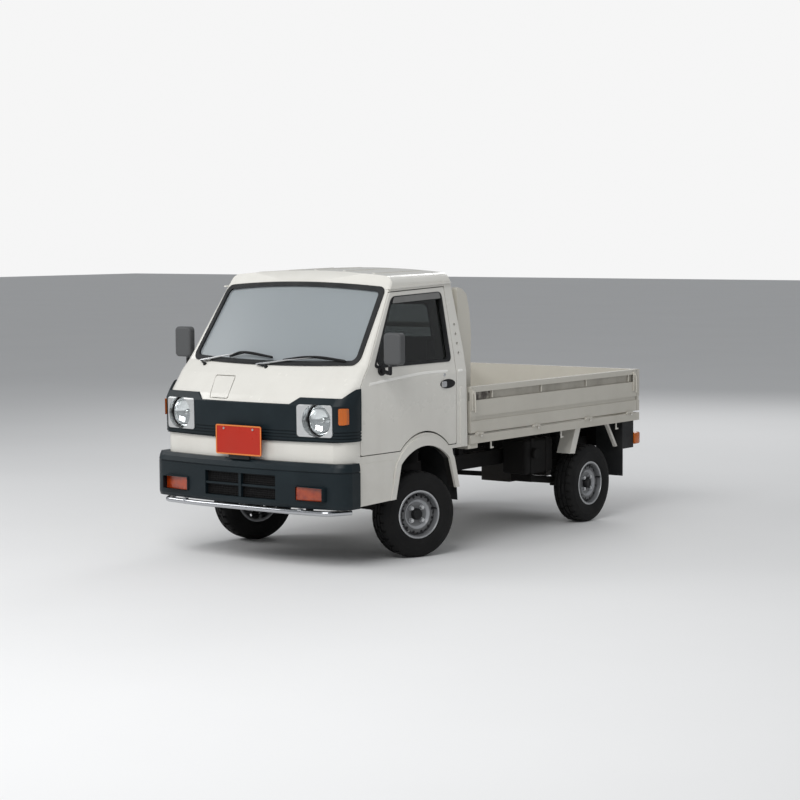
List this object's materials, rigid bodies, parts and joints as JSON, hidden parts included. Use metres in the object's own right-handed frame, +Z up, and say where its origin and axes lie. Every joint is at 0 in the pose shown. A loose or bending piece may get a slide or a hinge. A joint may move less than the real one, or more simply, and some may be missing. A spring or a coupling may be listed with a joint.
{
  "type": "cab-over kei pickup truck",
  "caption": "Small cab-over pickup truck with a flat drop-side bed, hinged doors, steered front wheels and a guard behind the cab.",
  "frame": {"origin": "on the ground under the middle of the truck's length and width", "axes": "+X to the truck's left, +Y to its tail, +Z up"},
  "size_m": [1.654, 3.195, 1.6291],
  "materials": {
    "ivory_paint": "old ivory gloss enamel",
    "slate_plastic": "satin moulded plastic",
    "black_paint": "dull black chassis paint",
    "raw_casting": "plain casting",
    "clear_glass": "clear",
    "seal_rubber": "weathered rubber",
    "silver_bezel": "silver paint on plastic",
    "amber_lens": "orange lens",
    "bright_chrome": "polished",
    "plate_red": "red with an orange border, blank",
    "arm_black": "satin black",
    "cabin_grey": "grained dark moulding",
    "seat_vinyl": "dark vinyl cloth",
    "tyre_rubber": "worn black rubber",
    "wheel_silver": "silver wheel enamel"
  },
  "bodies": {
    "chassis": {"bed_beams": "ivory_paint", "bed_deck": "ivory_paint", "bed_fittings": "ivory_paint", "bed_headboard": "ivory_paint", "bumper_bar": "bright_chrome", "cab_floor": "black_paint", "cab_front_panel": "ivory_paint", "cab_glass": "clear_glass", "cab_rear_wall": "ivory_paint", "cab_roof": "ivory_paint", "cab_side_left": "ivory_paint", "cab_side_right": "ivory_paint", "dashboard": "cabin_grey", "engine_block": "raw_casting", "exhaust_muffler": "black_paint", "fender_brackets": "ivory_paint", "frame_members": "black_paint", "frame_rails": "black_paint", "front_bumper": "slate_plastic", "front_garnish": "slate_plastic", "front_lamps": "amber_lens", "front_suspension": "black_paint", "fuel_tank": "black_paint", "guard_frame": "ivory_paint", "headlamp_bezels": "silver_bezel", "headlamp_lenses": "clear_glass", "interior_mirror": "arm_black", "number_plates": "plate_red", "rear_lamps": "amber_lens", "rear_mudguards": "seal_rubber", "rear_suspension": "black_paint", "seat_backs": "seat_vinyl", "seat_cushions": "seat_vinyl", "steering_column": "arm_black", "tow_eyes": "black_paint", "window_seals": "seal_rubber", "wipers": "arm_black"},
    "knuckle_left": {"knuckle_left": "raw_casting"},
    "knuckle_right": {"knuckle_right": "raw_casting"},
    "wheel_fl": {"tyre_fl": "tyre_rubber", "rim_fl": "wheel_silver"},
    "wheel_fr": {"tyre_fr": "tyre_rubber", "rim_fr": "wheel_silver"},
    "wheel_rl": {"tyre_rl": "tyre_rubber", "rim_rl": "wheel_silver"},
    "wheel_rr": {"tyre_rr": "tyre_rubber", "rim_rr": "wheel_silver"},
    "left_door": {"door_left": "ivory_paint", "door_glass_left": "clear_glass", "door_mirror_left": "arm_black"},
    "right_door": {"door_right": "ivory_paint", "door_glass_right": "clear_glass", "door_mirror_right": "arm_black"},
    "left_gate": {"side_gate_left": "ivory_paint"},
    "right_gate": {"side_gate_right": "ivory_paint"},
    "rear_gate": {"tailgate": "ivory_paint"},
    "nose_lid": {"service_lid": "ivory_paint"},
    "hand_wheel": {"steering_wheel": "arm_black"}
  },
  "joints": [
    {"name": "steer_left", "type": "hinge", "parent": "chassis", "child": "knuckle_left", "pos_m": [0.575, -0.776, 0.245], "axis": [0, 0, 1], "range_deg": [-15, 55]},
    {"name": "steer_right", "type": "hinge", "parent": "chassis", "child": "knuckle_right", "pos_m": [-0.575, -0.776, 0.245], "axis": [0, 0, 1], "range_deg": [-15, 55]},
    {"name": "spin_fl", "type": "hinge", "parent": "knuckle_left", "child": "wheel_fl", "pos_m": [0.60319, -0.78626, 0.245], "axis": [0.9397, -0.342, 0], "continuous": true},
    {"name": "spin_fr", "type": "hinge", "parent": "knuckle_right", "child": "wheel_fr", "pos_m": [-0.60319, -0.76574, 0.245], "axis": [0.9397, -0.342, 0], "continuous": true},
    {"name": "spin_rl", "type": "hinge", "parent": "chassis", "child": "wheel_rl", "pos_m": [0.605, 1.013, 0.245], "axis": [1, 0, 0], "continuous": true},
    {"name": "spin_rr", "type": "hinge", "parent": "chassis", "child": "wheel_rr", "pos_m": [-0.605, 1.013, 0.245], "axis": [1, 0, 0], "continuous": true},
    {"name": "door_left_hinge", "type": "hinge", "parent": "chassis", "child": "left_door", "pos_m": [0.66, -1.34, 0.9], "axis": [0, 0, -1], "range_deg": [0, 65]},
    {"name": "door_right_hinge", "type": "hinge", "parent": "chassis", "child": "right_door", "pos_m": [-0.66, -1.34, 0.9], "axis": [0, 0, 1], "range_deg": [0, 65]},
    {"name": "gate_left_hinge", "type": "hinge", "parent": "chassis", "child": "left_gate", "pos_m": [0.7025, 0.6, 0.661], "axis": [0, 1, 0], "range_deg": [0, 172]},
    {"name": "gate_right_hinge", "type": "hinge", "parent": "chassis", "child": "right_gate", "pos_m": [-0.7025, 0.6, 0.661], "axis": [0, -1, 0], "range_deg": [0, 172]},
    {"name": "tailgate_hinge", "type": "hinge", "parent": "chassis", "child": "rear_gate", "pos_m": [0, 1.577, 0.661], "axis": [-1, 0, 0], "range_deg": [0, 165]},
    {"name": "lid_hinge", "type": "hinge", "parent": "chassis", "child": "nose_lid", "pos_m": [-0.25, -1.412, 1.032], "axis": [-1, 0, 0], "range_deg": [0, 70]},
    {"name": "hand_wheel_turn", "type": "hinge", "parent": "chassis", "child": "hand_wheel", "pos_m": [-0.33, -1.045, 1.02], "axis": [0, 0.5782, 0.8159], "range_deg": [-240, 880]}
  ],
  "couplings": [
    {"joint": "steer_right", "follows": "steer_left", "ratio": 1},
    {"joint": "hand_wheel_turn", "follows": "steer_left", "ratio": 16}
  ]
}
